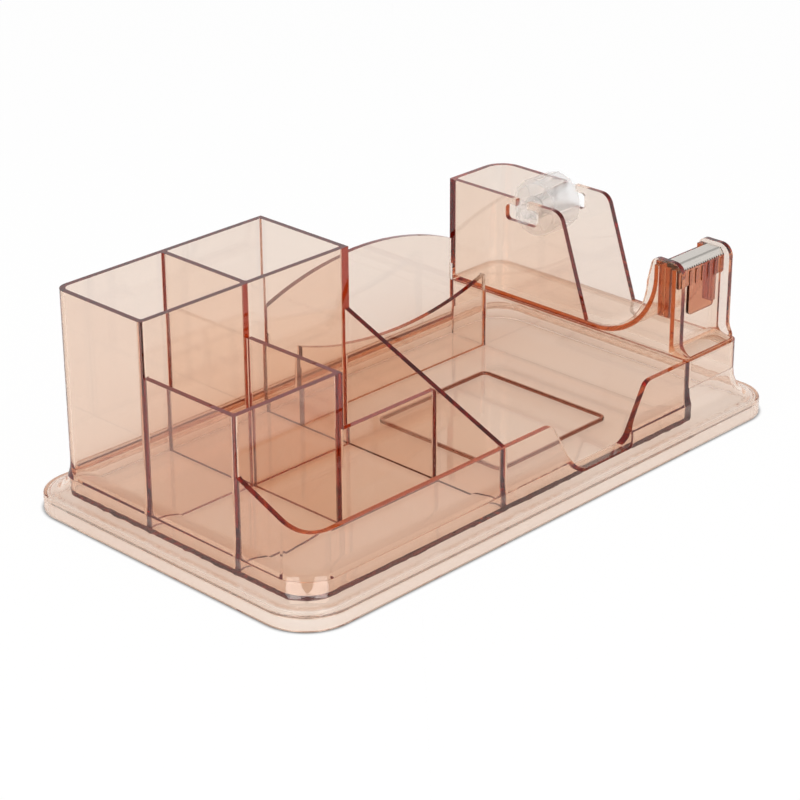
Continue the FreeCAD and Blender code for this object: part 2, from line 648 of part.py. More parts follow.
def cutter_blade():
    """Steel strip on the deck, with its toothed lip bent down over the front chamfer."""
    left = CUTTER_LEFT + BLADE_END_GAP
    width = CUTTER_RIGHT - BLADE_END_GAP - left
    teeth = int(width / TOOTH_PITCH)
    pitch = width / teeth
    edge = [V(0, 0, 0), V(0, -BLADE_LIP, 0)]
    for index in range(teeth):
        edge.append(V((index + 0.5) * pitch, -BLADE_LIP - TOOTH_DEPTH, 0))
        edge.append(V((index + 1) * pitch, -BLADE_LIP, 0))
    edge += [V(width, 0, 0), V(0, 0, 0)]
    lip = Part.Face(Part.makePolygon(edge)).extrude(V(0, 0, BLADE_THICKNESS))
    lip.rotate(V(0, 0, 0), V(1, 0, 0), LIP_ANGLE)
    lip.translate(V(left, BEND_Y, DECK_TOP))
    half_bend = BLADE_THICKNESS * math.tan(LIP_SLOPE / 2)
    points = [
        (BEND_Y, DECK_TOP),
        (BEND_Y - BLADE_THICKNESS * math.sin(LIP_SLOPE), DECK_TOP + BLADE_THICKNESS * math.cos(LIP_SLOPE)),
        (BEND_Y - half_bend, DECK_TOP + BLADE_THICKNESS),
        (FRONT + BLADE_BACK_FROM_FRONT, DECK_TOP + BLADE_THICKNESS),
        (FRONT + BLADE_BACK_FROM_FRONT, DECK_TOP),
    ]
    flat = slab(points, "yz", left, left + width)
    blade = flat.fuse(lip).removeSplitter()
    blade.translate(V(0, -BLADE_SEAT_GAP * math.sin(LIP_SLOPE), BLADE_SEAT_GAP))
    return blade


# ---- the hub -------------------------------------------------------------------------------------
def rod(radius, x0, x1):
    return Part.makeCylinder(radius, x1 - x0, V(x0, HUB_Y, HUB_Z), V(1, 0, 0))


DRUM_LEFT = GAP_MIDDLE - DRUM_WIDTH / 2
DRUM_RIGHT = GAP_MIDDLE + DRUM_WIDTH / 2


def hub_axle():
    """Fixed axle with a flat upright tab at each end and a collar at each end of the drum."""
    left = GAP_LEFT + AXLE_END_PLAY
    right = GAP_RIGHT - AXLE_END_PLAY
    half_tab = SLOT_ENTRY / 2 - SLOT_PLAY
    tabs = box(HOUSING_LEFT, HOUSING_RIGHT, HUB_Y - half_tab, HUB_Y + half_tab,
               HUB_Z - TAB_HEIGHT / 2, HUB_Z + TAB_HEIGHT / 2)
    tabs = tabs.cut(box(left, right, HUB_Y - REACH, HUB_Y + REACH, 0, CHEEK_TOP + REACH))
    inner_left = DRUM_LEFT - DRUM_END_PLAY
    inner_right = DRUM_RIGHT + DRUM_END_PLAY
    collars = rod(AXLE_COLLAR_RADIUS, inner_left - AXLE_COLLAR_WIDTH, inner_left)
    collars = collars.fuse(rod(AXLE_COLLAR_RADIUS, inner_right, inner_right + AXLE_COLLAR_WIDTH))
    return rod(AXLE_RADIUS, left, right).fuse([tabs, collars]).removeSplitter()


def hub_drum():
    """Drum that grips the core: rim with ridges, spokes and a bored boss."""
    x0 = DRUM_LEFT
    x1 = DRUM_RIGHT
    bore = AXLE_RADIUS + DRUM_BORE_PLAY
    rim = rod(DRUM_RADIUS, x0, x1).cut(rod(DRUM_RADIUS - DRUM_WALL, x0, x1))
    boss = rod(bore + DRUM_BOSS_WALL, x0, x1)
    solid = rim.fuse(boss)
    spoke = box(x0, x1, HUB_Y + bore, HUB_Y + DRUM_RADIUS - DRUM_WALL / 2,
                HUB_Z - DRUM_SPOKE_WALL / 2, HUB_Z + DRUM_SPOKE_WALL / 2)
    ridge = box(x0, x1, HUB_Y + DRUM_RADIUS - DRUM_WALL / 2, HUB_Y + DRUM_RADIUS + DRUM_RIDGE_RISE,
                HUB_Z - DRUM_RIDGE_WIDTH / 2, HUB_Z + DRUM_RIDGE_WIDTH / 2)
    for count, piece in ((DRUM_SPOKES, spoke), (DRUM_RIDGES, ridge)):
        for index in range(count):
            turned = piece.copy()
            turned.rotate(V(GAP_MIDDLE, HUB_Y, HUB_Z), V(1, 0, 0), 360 * index / count)
            solid = solid.fuse(turned)
    return solid.cut(rod(bore, x0 - REACH, x1 + REACH)).removeSplitter()


NODES = {
    "organiser_base": organiser_base,
    "tape_housing": tape_housing,
    "cutter_carrier": cutter_carrier,
    "cutter_blade": cutter_blade,
    "hub_axle": hub_axle,
    "hub_drum": hub_drum,
}

os.makedirs("parts", exist_ok=True)
for name, make in NODES.items():
    shape = make()
    shape.exportStep(os.path.join("parts", name + ".step"))
    size = shape.BoundBox
    corners = (size.XMin, size.YMin, size.ZMin, size.XMax, size.YMax, size.ZMax)
    print(name, "solids", len(shape.Solids), "valid", shape.isValid(),
          "volume", round(shape.Volume, 1), "box", [round(value, 2) for value in corners])
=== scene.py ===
# %% [markdown]
# # A clear amber desk organiser with a tape dispenser
#
# The organiser is one moulding of tinted clear polystyrene, with a housing for a tape roll, a small
# cutter and a hub.

import math

import bmesh
import bpy
from mathutils import Matrix, Vector


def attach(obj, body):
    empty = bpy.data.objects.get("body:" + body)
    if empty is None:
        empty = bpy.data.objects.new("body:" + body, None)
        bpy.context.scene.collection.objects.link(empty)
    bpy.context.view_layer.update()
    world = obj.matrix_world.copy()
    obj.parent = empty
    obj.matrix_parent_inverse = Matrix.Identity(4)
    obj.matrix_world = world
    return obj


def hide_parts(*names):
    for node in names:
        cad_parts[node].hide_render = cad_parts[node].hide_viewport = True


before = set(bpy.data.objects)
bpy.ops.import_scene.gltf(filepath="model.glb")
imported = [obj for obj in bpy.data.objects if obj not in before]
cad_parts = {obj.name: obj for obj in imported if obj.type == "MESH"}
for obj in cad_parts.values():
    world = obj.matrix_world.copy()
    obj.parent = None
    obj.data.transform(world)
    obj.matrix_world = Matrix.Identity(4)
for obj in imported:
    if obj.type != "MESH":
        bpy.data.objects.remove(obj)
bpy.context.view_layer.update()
MM = 0.001                           # sizes are written in millimetres, and Blender works in metres
print("solids:", sorted(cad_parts))

# %% [markdown]
# Colours are written as sRGB hex, as a colour picker shows them. The shader works on linear light,
# so one function turns one into the other.

# %% Colour
def linear(hex_colour):
    """sRGB hex such as "CA9461" to a linear RGBA tuple."""
    channels = []
    for start in (0, 2, 4):
        value = int(hex_colour[start:start + 2], 16) / 255
        channels.append(value / 12.92 if value <= 0.04045 else ((value + 0.055) / 1.055) ** 2.4)
    return (*channels, 1.0)


print("white is", linear("FFFFFF"))

# %% [markdown]
# The camera is a long lens, a little under a metre away, above the front left corner. A long lens
# keeps the far end of the organiser nearly as large as the near end.

# %% Camera
TARGET = Vector((-31.40, -23.79, 38.22)) * MM
DISTANCE = 816.2 * MM
AZIMUTH = math.radians(-45.826)
ELEVATION = math.radians(24.536)
ROLL = math.radians(-0.263)
LENS = 114.15                        # mm, on a sensor of 36 mm
SENSOR = 36.0
NEAREST = 0.05                       # metres, what the camera sees from and to
FARTHEST = 20.0

backward = Vector((math.sin(AZIMUTH) * math.cos(ELEVATION),
                   -math.cos(AZIMUTH) * math.cos(ELEVATION),
                   math.sin(ELEVATION)))
side = (-backward).cross(Vector((0, 0, 1))).normalized()
above = side.cross(-backward)
right = side * math.cos(ROLL) + above * math.sin(ROLL)
up = above * math.cos(ROLL) - side * math.sin(ROLL)

lens = bpy.data.cameras.new("camera")
lens.lens = LENS
lens.sensor_width = SENSOR
lens.clip_start = NEAREST
lens.clip_end = FARTHEST
camera = bpy.data.objects.new("camera", lens)
bpy.context.scene.collection.objects.link(camera)
place = Matrix((right, up, backward)).transposed().to_4x4()
place.translation = TARGET + backward * DISTANCE
camera.matrix_world = place
bpy.context.scene.camera = camera
print("camera stands at", [round(value, 3) for value in place.translation])

# %% [markdown]
# A material is a small tree of nodes. One helper adds a node with its settings and its links, and
# every finish below is built with it.

# %% A helper for nodes
def add_node(tree, kind, settings=None, inputs=None):
    """Adds a node. settings are its properties; inputs are socket values, or sockets to link."""
    node = tree.nodes.new(kind)
    for name, value in (settings or {}).items():
        setattr(node, name, value)
    for name, value in (inputs or {}).items():
        if isinstance(value, bpy.types.NodeSocket):
            tree.links.new(value, node.inputs[name])
        else:
            node.inputs[name].default_value = value
    return node


def new_material(name):
    """An empty material and its tree of nodes."""
    material = bpy.data.materials.new(name)
    material.use_nodes = True
    material.node_tree.nodes.clear()
    return material, material.node_tree


# %% [markdown]
# The organiser stands on white studio paper, under two large softboxes. Paper that only glows would
# lose its shadow, and paper that is only lit turns out grey, so a mix shader joins the two. To the
# camera the paper is nearly all glow. Through the plastic and in its gloss it is nearly all lit paper.
# Where the foot comes close, ambient occlusion dims the glow to a thin dark line. The sky is white near
# the horizon and darker overhead, so that the walls keep some contrast.

# %% Floor, sky and lamps
WHITE_SHARE_DIRECT = 0.95            # how much of the paper glows, as the camera sees it
WHITE_SHARE_THROUGH = 0.05           # the same, through the plastic and in its gloss
CONTACT_WIDTH = 1.5 * MM             # the dark line where the foot meets the paper
CONTACT_SAMPLES = 8
CONTACT_SHUT = 0.4                   # how open the paper is at the line's darkest place
CONTACT_OPEN = 0.95                  # and where the line ends
CONTACT_GLOW = 0.15                  # the glow that is left in the darkest place
PAPER_HALF = 6.0                     # metres
PAPER_DROP = 0.2 * MM                # the paper lies a little under the foot, so the two don't meet
SKY_OVERHEAD = 0.35                  # strength; near the horizon it is 1
SKY_FALL_START = 0.25                # height of the view direction, as the sine of its angle
SKY_FALL_END = 0.65
LAMP_WIDTH = 1.1
LAMP_LENGTH = 2.0
LAMP_POWER = 20.0
LAMP_AIM = Vector((0, 0, 0.03))
MOST_BOUNCES = 64                    # light inside a wall is reflected many times
MOST_DIFFUSE_BOUNCES = 4


def studio_floor():
    """White to the camera. Through the plastic, the paper shows more of its own grey and its shade."""
    material, tree = new_material("white studio paper")
    path = add_node(tree, "ShaderNodeLightPath")
    through = add_node(tree, "ShaderNodeMath", {"operation": "MAXIMUM"},
                       {0: path.outputs["Is Transmission Ray"], 1: path.outputs["Is Glossy Ray"]})
    through = add_node(tree, "ShaderNodeMath", {"operation": "MULTIPLY"},
                       {0: through.outputs[0], 1: WHITE_SHARE_THROUGH})
    direct = add_node(tree, "ShaderNodeMath", {"operation": "MULTIPLY"},
                      {0: path.outputs["Is Camera Ray"], 1: WHITE_SHARE_DIRECT})
    share = add_node(tree, "ShaderNodeMath", {"operation": "MAXIMUM"},
                     {0: direct.outputs[0], 1: through.outputs[0]})
    paper = add_node(tree, "ShaderNodeBsdfDiffuse", inputs={"Color": linear("E6E5E4")})
    gap = add_node(tree, "ShaderNodeAmbientOcclusion", {"samples": CONTACT_SAMPLES},
                   {"Distance": CONTACT_WIDTH})
    contact = add_node(tree, "ShaderNodeMapRange",
                       inputs={"Value": gap.outputs["AO"], "From Min": CONTACT_SHUT,
                               "From Max": CONTACT_OPEN, "To Min": CONTACT_GLOW, "To Max": 1.0})
    glow = add_node(tree, "ShaderNodeEmission",
                    inputs={"Color": (1, 1, 1, 1), "Strength": contact.outputs["Result"]})
    mixed = add_node(tree, "ShaderNodeMixShader",
                     inputs={0: share.outputs[0], 1: paper.outputs[0], 2: glow.outputs[0]})
    add_node(tree, "ShaderNodeOutputMaterial", inputs={"Surface": mixed.outputs[0]})
    mesh = bpy.data.meshes.new("floor")
    half = PAPER_HALF
    mesh.from_pydata([(-half, -half, 0), (half, -half, 0), (half, half, 0), (-half, half, 0)],
                     [], [(0, 1, 2, 3)])
    mesh.materials.append(material)
    floor = bpy.data.objects.new("floor", mesh)
    bpy.context.scene.collection.objects.link(floor)
    floor.location.z = -PAPER_DROP


def softbox(name, where):
    """A soft lamp that faces the organiser."""
    lamp = bpy.data.lights.new(name, "AREA")
    lamp.shape = "RECTANGLE"
    lamp.size = LAMP_WIDTH
    lamp.size_y = LAMP_LENGTH
    lamp.energy = LAMP_POWER
    thing = bpy.data.objects.new(name, lamp)
    bpy.context.scene.collection.objects.link(thing)
    thing.location = where
    thing.rotation_euler = (LAMP_AIM - Vector(where)).to_track_quat("-Z", "Y").to_euler()


studio_floor()
world = bpy.data.worlds.new("pale studio")
bpy.context.scene.world = world
world.use_nodes = True
world.node_tree.nodes.clear()
direction = add_node(world.node_tree, "ShaderNodeTexCoord")
height = add_node(world.node_tree, "ShaderNodeSeparateXYZ", inputs={0: direction.outputs["Generated"]})
fall = add_node(world.node_tree, "ShaderNodeMapRange", {"interpolation_type": "SMOOTHSTEP"},
                {"Value": height.outputs["Z"], "From Min": SKY_FALL_START, "From Max": SKY_FALL_END,
                 "To Min": 1.0, "To Max": SKY_OVERHEAD})
sky = add_node(world.node_tree, "ShaderNodeBackground",
               inputs={"Color": (1, 1, 1, 1), "Strength": fall.outputs["Result"]})
add_node(world.node_tree, "ShaderNodeOutputWorld", inputs={"Surface": sky.outputs[0]})
softbox("softbox at the left", (-1.2, -0.1, 1.0))
softbox("softbox in front", (-0.1, -1.2, 1.0))
bpy.context.scene.view_settings.view_transform = "Standard"
light_paths = bpy.context.scene.cycles
light_paths.max_bounces = MOST_BOUNCES
light_paths.transmission_bounces = MOST_BOUNCES
light_paths.glossy_bounces = MOST_BOUNCES
light_paths.diffuse_bounces = MOST_DIFFUSE_BOUNCES

# %% [markdown]
# The body is general purpose polystyrene with an amber tint, injected into a polished mould. It is
# clear and glossy. One wall takes little light, so a face looks pale; along a wall's edge the light
# crosses centimetres of plastic, so edges turn brown and orange. Painted edges would need a colour for
# each view, while a volume absorption gives both looks from one tint and one strength.
#
# Two shortcuts keep the edges brown, not black. Light that has bounced too often inside a wall is let
# out, and where one moulding sits tight in another, the light goes straight through the joint. The
# surface is open to shadow rays too, so the floor under clear walls stays light.

# %% Amber polystyrene
EDGE_RADIUS = 0.18 * MM              # a moulding's edges are never quite sharp
EDGE_SAMPLES = 4
LONGEST_PATH = 20                    # bounces, after which the light gets out
POLYSTYRENE_IOR = 1.59
SWIRLS = 35.0                        # per metre: the melt's flow leaves waves about 30 mm long
SWIRL_STRENGTH = 0.02
OPEN_SKIN = "F9F9F9"                 # what an open surface still takes from the light


def clear_plastic(name, tint, strength, roughness, contact_height=-1.0):
    """Clear moulding plastic. strength is how much light it takes, per metre.

    Below contact_height the part sits tight in its neighbour, so the light doesn't bend there. The
    value that it has by default is below the floor, for a part that stands free.
    """
    material, tree = new_material(name)
    place = add_node(tree, "ShaderNodeTexCoord")
    swirl = add_node(tree, "ShaderNodeTexNoise",
                     inputs={"Vector": place.outputs["Object"], "Scale": SWIRLS, "Detail": 2.0})
    soft_edges = add_node(tree, "ShaderNodeBevel", {"samples": EDGE_SAMPLES}, {"Radius": EDGE_RADIUS})
    bump = add_node(tree, "ShaderNodeBump",
                    inputs={"Height": swirl.outputs["Fac"], "Strength": SWIRL_STRENGTH,
                            "Distance": 1.0 * MM, "Normal": soft_edges.outputs["Normal"]})
    skin = add_node(tree, "ShaderNodeBsdfPrincipled",
                    inputs={"Base Color": (1, 1, 1, 1), "Roughness": roughness, "IOR": POLYSTYRENE_IOR,
                            "Transmission Weight": 1.0, "Normal": bump.outputs["Normal"]})
    depth = add_node(tree, "ShaderNodeVolumeAbsorption",
                     inputs={"Color": linear(tint), "Density": strength})
    path = add_node(tree, "ShaderNodeLightPath")
    spot = add_node(tree, "ShaderNodeSeparateXYZ", inputs={0: place.outputs["Object"]})
    seated = add_node(tree, "ShaderNodeMath", {"operation": "LESS_THAN"},
                      {0: spot.outputs["Z"], 1: contact_height})
    lost = add_node(tree, "ShaderNodeMath", {"operation": "GREATER_THAN"},
                    {0: path.outputs["Ray Depth"], 1: LONGEST_PATH})
    straight = add_node(tree, "ShaderNodeMath", {"operation": "MAXIMUM"},
                        {0: path.outputs["Is Shadow Ray"], 1: path.outputs["Is Diffuse Ray"]})
    for reason in (seated, lost):
        straight = add_node(tree, "ShaderNodeMath", {"operation": "MAXIMUM"},
                            {0: straight.outputs[0], 1: reason.outputs[0]})
    open_skin = add_node(tree, "ShaderNodeBsdfTransparent", inputs={"Color": linear(OPEN_SKIN)})
    surface = add_node(tree, "ShaderNodeMixShader",
                       inputs={0: straight.outputs[0], 1: skin.outputs[0], 2: open_skin.outputs[0]})
    add_node(tree, "ShaderNodeOutputMaterial",
             inputs={"Surface": surface.outputs[0], "Volume": depth.outputs[0]})
    return material


AMBER_TINT = "EBAE54"
AMBER_STRENGTH = 130.0
POLISHED_MOULD = 0.01                # roughness
HOUSING_SEAT = 27.05 * MM            # just above the pedestal's top, on which the housing stands
amber = clear_plastic("amber polystyrene, moulded", AMBER_TINT, AMBER_STRENGTH, POLISHED_MOULD)
seated_amber = clear_plastic("amber polystyrene, seated moulding", AMBER_TINT, AMBER_STRENGTH,
                             POLISHED_MOULD, HOUSING_SEAT)
print("amber:", amber.name, "and", seated_amber.name)

# %% [markdown]
# The cutter is a small moulding of the same plastic from a far deeper batch. It has many close walls
# and ribs, so it looks orange to brown where the body is pale. The low rib in the memo tray shows as a
# dark line, although light crosses hardly a millimetre of it. That line is shade, so the rib's far
# deeper tint and strength paint it: painted shade, not a deeper plastic. The
# function of the body's plastic makes both, with a tint and a strength of their own.

# %% Deep amber for the cutter, and painted shade for the rib
DEEP_TINT = "E6A010"
DEEP_STRENGTH = 1300.0
# The rib's tint and strength are painted shade: they draw the dark line that the rib shows.
RIB_PAINTED_SHADE_TINT = "DA9628"
RIB_PAINTED_SHADE_STRENGTH = 2600.0
PLAIN_MOULD = 0.02                   # roughness
deep_amber = clear_plastic("amber polystyrene, deep batch", DEEP_TINT, DEEP_STRENGTH, PLAIN_MOULD)
rib_painted_shade = clear_plastic("amber polystyrene, rib, painted dark line", RIB_PAINTED_SHADE_TINT, RIB_PAINTED_SHADE_STRENGTH, PLAIN_MOULD)
print("deep amber:", deep_amber.name, "and", rib_painted_shade.name)

# %% [markdown]
# The hub is untinted polystyrene from a sand blasted mould. Its fine grain scatters the light, so
# it looks milky, with no sharp lines inside. Subsurface scattering is one way to a milky plastic. This
# hub is thin and mostly clear, so it is a rough clear one that lets most light straight through.
# Polystyrene has an IOR of 1.59. The hub is drawn with less, so that its many small walls stay soft.

# %% Frosted polystyrene
FROSTED_IOR = 1.3
FROSTED_CLEAR = 0.85                 # share of the light that goes in, not back
GRAIN = 0.3 * MM                     # blasted grain is about 0.1 mm, too fine to show, so it is coarser
GRAIN_STRENGTH = 0.1
WORN_EDGE = 0.4 * MM
DRUM_ROUGHNESS = 0.5
DRUM_OPACITY = 0.27
AXLE_ROUGHNESS = 0.2                 # smoother than the drum, so that its tabs shine a little
AXLE_OPACITY = 0.3


def frosted_plastic(name, roughness, opacity):
    """Milky plastic. opacity is how much of it the eye sees, the rest is see-through."""
    material, tree = new_material(name)
    place = add_node(tree, "ShaderNodeTexCoord")
    grain = add_node(tree, "ShaderNodeTexNoise",
                     inputs={"Vector": place.outputs["Object"], "Scale": 1 / GRAIN, "Detail": 1.0})
    soft_edges = add_node(tree, "ShaderNodeBevel", {"samples": EDGE_SAMPLES}, {"Radius": WORN_EDGE})
    bump = add_node(tree, "ShaderNodeBump",
                    inputs={"Height": grain.outputs["Fac"], "Strength": GRAIN_STRENGTH,
                            "Distance": GRAIN, "Normal": soft_edges.outputs["Normal"]})
    skin = add_node(tree, "ShaderNodeBsdfPrincipled",
                    inputs={"Base Color": linear("FCFCFC"), "Roughness": roughness,
                            "IOR": FROSTED_IOR, "Transmission Weight": FROSTED_CLEAR,
                            "Alpha": opacity, "Normal": bump.outputs["Normal"]})
    add_node(tree, "ShaderNodeOutputMaterial", inputs={"Surface": skin.outputs[0]})
    return material


frosted = frosted_plastic("clear polystyrene, frosted", DRUM_ROUGHNESS, DRUM_OPACITY)
polished = frosted_plastic("clear polystyrene, lightly frosted", AXLE_ROUGHNESS, AXLE_OPACITY)
print("hub finishes:", frosted.name, "and", polished.name)

# %% [markdown]
# The blade is a strip of tinned steel, rolled and then pressed. Rolling leaves fine lines along the
# strip, so it shines more softly across them. A noise that is stretched along the strip gives both
# the lines in the colour and the change in roughness.

# %% Steel for the blade
ROLLING_LINES = 0.15 * MM            # real ones are a few hundredths apart, too fine to show
LINE_STRETCH = 0.03
STEEL_ROUGHNESS = (0.22, 0.38)


def rolled_steel():
    """Bright strip steel with rolling lines along the blade."""
    material, tree = new_material("tinned steel, rolled and pressed")
    place = add_node(tree, "ShaderNodeTexCoord")
    along = add_node(tree, "ShaderNodeMapping",
                     inputs={"Vector": place.outputs["Object"], "Scale": (LINE_STRETCH, 1.0, 1.0)})
    lines = add_node(tree, "ShaderNodeTexNoise",
                     inputs={"Vector": along.outputs["Vector"], "Scale": 1 / ROLLING_LINES,
                             "Detail": 2.0})
    tone = add_node(tree, "ShaderNodeMix", {"data_type": "RGBA"},
                    {0: lines.outputs["Fac"], 6: linear("DAD2C9"), 7: linear("F2EDE6")})
    rough = add_node(tree, "ShaderNodeMapRange",
                     inputs={"Value": lines.outputs["Fac"], "To Min": STEEL_ROUGHNESS[0],
                             "To Max": STEEL_ROUGHNESS[1]})
    skin = add_node(tree, "ShaderNodeBsdfPrincipled",
                    inputs={"Base Color": tone.outputs[2], "Metallic": 1.0,
                            "Roughness": rough.outputs["Result"]})
    add_node(tree, "ShaderNodeOutputMaterial", inputs={"Surface": skin.outputs[0]})
    return material


steel = rolled_steel()
print("blade finish:", steel.name)

# %% [markdown]
# The blade's edge is a row of pressed teeth, and its front is bent down over the cutter. Both follow
# a rule, so Geometry Nodes make them. The tree starts from a flat grid with two columns for each
# tooth. It pulls every second point of the front row forward, bends the sheet round the cutter's
# front, and gives it a thickness.

# %% The toothed blade
TEETH = 18
BLADE_LEFT = 79.85 * MM
BLADE_WIDTH = 22.1 * MM
BLADE_TOP = 59.92 * MM               # under side of the sheet, where it lies on the cutter
BLADE_BACK = -43.97 * MM
BEND_START = -48.45 * MM             # the flat ends here, and the lip bends down
BEND_RADIUS = 0.45 * MM
BEND_ANGLE = math.radians(55.0)
LIP = 1.75 * MM
TOOTH_DEPTH = 0.8 * MM
SHEET = 0.5 * MM
BLADE_ROWS = 33                      # rows of points from back to front, so that the bend is smooth
LAST_ROW = 0.999                     # share of the length, past which a point is in the front row
WELD = 0.001 * MM                    # points nearer than this are one


def toothed_sheet_tree():
    """Nodes for a sheet of steel with teeth along its front, bent down at the front."""
    tree = bpy.data.node_groups.new("toothed blade", "GeometryNodeTree")
    tree.interface.new_socket("Geometry", in_out="OUTPUT", socket_type="NodeSocketGeometry")
    tree.interface.new_socket("Geometry", in_out="INPUT", socket_type="NodeSocketGeometry")
    for name in ("Width", "Flat length", "Lip length", "Tooth depth", "Bend radius", "Bend angle",
                 "Thickness"):
        tree.interface.new_socket(name, in_out="INPUT", socket_type="NodeSocketFloat")
    tree.interface.new_socket("Teeth", in_out="INPUT", socket_type="NodeSocketInt")
    tree.interface.new_socket("Finish", in_out="INPUT", socket_type="NodeSocketMaterial")
    sizes = add_node(tree, "NodeGroupInput").outputs

    def compute(operation, first, second=0.0, third=0.0):
        """The result of one sum on numbers or sockets."""
        return add_node(tree, "ShaderNodeMath", {"operation": operation},
                        {0: first, 1: second, 2: third}).outputs[0]

    columns = compute("MULTIPLY_ADD", sizes["Teeth"], 2.0, 1.0)
    turn = compute("MULTIPLY", sizes["Bend radius"], sizes["Bend angle"])
    length = compute("ADD", compute("ADD", sizes["Flat length"], sizes["Lip length"]), turn)
    grid = add_node(tree, "GeometryNodeMeshGrid",
                    inputs={"Size X": sizes["Width"], "Size Y": length,
                            "Vertices X": columns, "Vertices Y": BLADE_ROWS}).outputs["Mesh"]
    spot = add_node(tree, "ShaderNodeSeparateXYZ",
                    inputs={0: add_node(tree, "GeometryNodeInputPosition").outputs[0]}).outputs
    from_back = compute("SUBTRACT", compute("MULTIPLY", length, 0.5), spot["Y"])
    front_row = compute("GREATER_THAN", from_back, compute("MULTIPLY", length, LAST_ROW))
    column = compute("MULTIPLY", compute("ADD", compute("DIVIDE", spot["X"], sizes["Width"]), 0.5),
                     compute("MULTIPLY", sizes["Teeth"], 2.0))
    tip = compute("MODULO", compute("ROUND", column), 2.0)
    tooth = compute("MULTIPLY", compute("MULTIPLY", front_row, tip), sizes["Tooth depth"])
    travelled = compute("SUBTRACT", compute("ADD", from_back, tooth), sizes["Flat length"])
    angle = compute("DIVIDE", compute("MINIMUM", compute("MAXIMUM", travelled, 0.0), turn),
                    sizes["Bend radius"])
    straight = compute("MAXIMUM", compute("SUBTRACT", travelled, turn), 0.0)
    flat = compute("MINIMUM", travelled, 0.0)
    forward = compute("MULTIPLY_ADD", straight, compute("COSINE", angle),
                      compute("MULTIPLY_ADD", sizes["Bend radius"], compute("SINE", angle), flat))
    drop = compute("MULTIPLY_ADD", straight, compute("SINE", angle),
                   compute("MULTIPLY", sizes["Bend radius"],
                           compute("SUBTRACT", 1.0, compute("COSINE", angle))))
    bent = add_node(tree, "ShaderNodeCombineXYZ",
                    inputs={"X": spot["X"], "Y": compute("MULTIPLY", forward, -1.0),
                            "Z": compute("MULTIPLY", drop, -1.0)}).outputs[0]
    sheet = add_node(tree, "GeometryNodeSetPosition",
                     inputs={"Geometry": grid, "Position": bent}).outputs[0]
    under = add_node(tree, "GeometryNodeFlipFaces", inputs={"Mesh": sheet}).outputs[0]
    over = add_node(tree, "GeometryNodeExtrudeMesh", {"mode": "FACES"},
                    {"Mesh": sheet, "Offset Scale": sizes["Thickness"], "Individual": False})
    both = add_node(tree, "GeometryNodeJoinGeometry")
    tree.links.new(under, both.inputs[0])
    tree.links.new(over.outputs["Mesh"], both.inputs[0])
    closed = add_node(tree, "GeometryNodeMergeByDistance",
                      inputs={"Geometry": both.outputs[0], "Distance": WELD}).outputs[0]
    real = add_node(tree, "GeometryNodeRealizeInstances", inputs={"Geometry": closed}).outputs[0]
    dressed = add_node(tree, "GeometryNodeSetMaterial",
                       inputs={"Geometry": real, "Material": sizes["Finish"]}).outputs[0]
    add_node(tree, "NodeGroupOutput", inputs={0: dressed})
    return tree


def bake_nodes(name, tree, values, where):
    """Runs a tree of nodes once, and returns a plain mesh object with its place in its mesh."""
    carrier = bpy.data.objects.new(name, bpy.data.meshes.new(name))
    bpy.context.scene.collection.objects.link(carrier)
    modifier = carrier.modifiers.new("build", "NODES")
    modifier.node_group = tree
    for item in tree.interface.items_tree:
        if item.in_out == "INPUT" and item.name in values:
            modifier[item.identifier] = values[item.name]
    graph = bpy.context.evaluated_depsgraph_get()
    mesh = bpy.data.meshes.new_from_object(carrier.evaluated_get(graph))
    mesh.transform(Matrix.Translation(where))
    carrier.modifiers.remove(modifier)
    carrier.data = mesh
    return carrier


def reach(piece):
    """A piece's lowest and highest corners, in millimetres."""
    corners = [vertex.co / MM for vertex in piece.data.vertices]
    return [[round(end(corner[axis] for corner in corners), 2) for axis in range(3)]
            for end in (min, max)]


blade = bake_nodes("toothed_blade", toothed_sheet_tree(),
                   {"Width": BLADE_WIDTH, "Flat length": BLADE_BACK - BEND_START, "Lip length": LIP,
                    "Tooth depth": TOOTH_DEPTH, "Bend radius": BEND_RADIUS, "Bend angle": BEND_ANGLE,
                    "Thickness": SHEET, "Teeth": TEETH, "Finish": steel},
                   Vector((BLADE_LEFT + BLADE_WIDTH / 2, BEND_START, BLADE_TOP)))
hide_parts("cutter_blade")
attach(blade, "organiser")
print("blade:", len(blade.data.polygons), "faces, between", *reach(blade))

# %% [markdown]
# The blade lies on the cutter's saddle, whose deck ends at the blade's back, between the two legs. The
# solid's deck runs further back. Its other shapes are right, so a copy of it is cut, and isn't made
# anew. A boolean modifier takes the block out, and the result is baked to a mesh. The solid's
# triangles are loose, so the copy's corners are joined first.

# %% The cutter's saddle
LEG_LEFT = 81.2 * MM                 # the legs' inner faces
LEG_RIGHT = 100.6 * MM
DECK_UNDERSIDE = 58.1 * MM
SPARE = 1 * MM                       # the cutting block reaches this far past the deck
NOTCH_LENGTH = 10 * MM


def block(name, low, high):
    """A plain block between two corners, to cut with."""
    shape = bmesh.new()
    bmesh.ops.create_cube(shape, size=1.0)
    size = high - low
    bmesh.ops.transform(shape, verts=shape.verts,
                        matrix=Matrix.Translation((low + high) / 2) @ Matrix.Diagonal((*size, 1.0)))
    mesh = bpy.data.meshes.new(name)
    shape.to_mesh(mesh)
    shape.free()
    thing = bpy.data.objects.new(name, mesh)
    bpy.context.scene.collection.objects.link(thing)
    return thing


